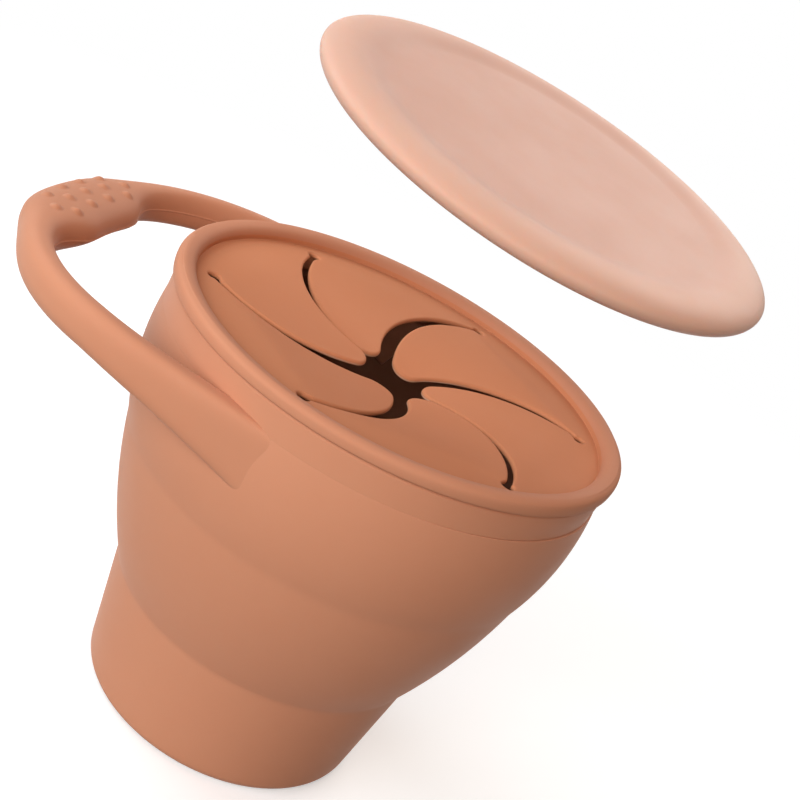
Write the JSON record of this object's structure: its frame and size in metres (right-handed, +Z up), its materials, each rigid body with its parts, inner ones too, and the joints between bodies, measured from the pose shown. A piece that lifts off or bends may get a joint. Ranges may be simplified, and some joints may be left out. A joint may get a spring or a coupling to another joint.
{
  "type": "collapsible snack cup",
  "caption": "Collapsible silicone snack cup with a bumped side handle, a swirl-slit petal lid that a small hand reaches through, and a dust cover held open above it.",
  "frame": {"origin": "centre of the underside of the cup, on the surface that it stands on", "axes": "+Z up along the cup's axis; the handle reaches to -X; +Y is to the right of the handle seen from the cup"},
  "size_m": [0.1268, 0.0968, 0.1349],
  "materials": {
    "cup_silicone": "matt silicone, faint powdery sheen",
    "lid_silicone": "matt silicone, a little more translucent at thin edges",
    "cover_silicone": "smooth milky silicone, soft sheen"
  },
  "bodies": {
    "base": {"base_cup": "cup_silicone", "fold_band": "cup_silicone"},
    "upper": {"upper_wall": "cup_silicone"},
    "handle": {"handle_loop": "cup_silicone"},
    "lid": {"lid_ring": "lid_silicone"},
    "petal_1": {"petal_1": "lid_silicone"},
    "petal_2": {"petal_2": "lid_silicone"},
    "petal_3": {"petal_3": "lid_silicone"},
    "petal_4": {"petal_4": "lid_silicone"},
    "petal_5": {"petal_5": "lid_silicone"},
    "petal_6": {"petal_6": "lid_silicone"},
    "cover": {"dust_cover": "cover_silicone"}
  },
  "joints": [
    {"name": "collapse", "type": "slide", "parent": "base", "child": "upper", "axis": [0, 0, 1], "range_m": [-0.047, 0], "deforming": ["fold_band"]},
    {"name": "handle_flex", "type": "hinge", "parent": "upper", "child": "handle", "pos_m": [-0.027, 0, 0.07443], "axis": [0, 1, 0], "range_deg": [-24, 24], "stiffness_Nm_per_rad": 0.06},
    {"name": "lid_lift", "type": "slide", "parent": "upper", "child": "lid", "axis": [0, 0, 1], "range_m": [0, 0.03]},
    {"name": "petal_1_bend", "type": "hinge", "parent": "lid", "child": "petal_1", "pos_m": [0.02149, 0.02516, 0.08298], "axis": [-0.7604, 0.6494, 0], "range_deg": [-30, 8], "stiffness_Nm_per_rad": 0.012},
    {"name": "petal_2_bend", "type": "hinge", "parent": "lid", "child": "petal_2", "pos_m": [-0.01104, 0.03119, 0.08298], "axis": [-0.9426, -0.3338, 0], "range_deg": [-30, 8], "stiffness_Nm_per_rad": 0.012},
    {"name": "petal_3_bend", "type": "hinge", "parent": "lid", "child": "petal_3", "pos_m": [-0.03253, 0.00603, 0.08298], "axis": [-0.1822, -0.9833, 0], "range_deg": [-30, 8], "stiffness_Nm_per_rad": 0.012},
    {"name": "petal_4_bend", "type": "hinge", "parent": "lid", "child": "petal_4", "pos_m": [-0.02149, -0.02516, 0.08298], "axis": [0.7604, -0.6494, 0], "range_deg": [-30, 8], "stiffness_Nm_per_rad": 0.012},
    {"name": "petal_5_bend", "type": "hinge", "parent": "lid", "child": "petal_5", "pos_m": [0.01104, -0.03119, 0.08298], "axis": [0.9426, 0.3338, 0], "range_deg": [-30, 8], "stiffness_Nm_per_rad": 0.012},
    {"name": "petal_6_bend", "type": "hinge", "parent": "lid", "child": "petal_6", "pos_m": [0.03253, -0.00603, 0.08298], "axis": [0.1822, 0.9833, 0], "range_deg": [-30, 8], "stiffness_Nm_per_rad": 0.012},
    {"name": "cover_lift", "type": "hinge", "parent": "lid", "child": "cover", "pos_m": [0.25317, -0.24795, 0.10428], "axis": [0.6935, 0.6961, -0.186], "range_deg": [-6.51, 0]}
  ]
}
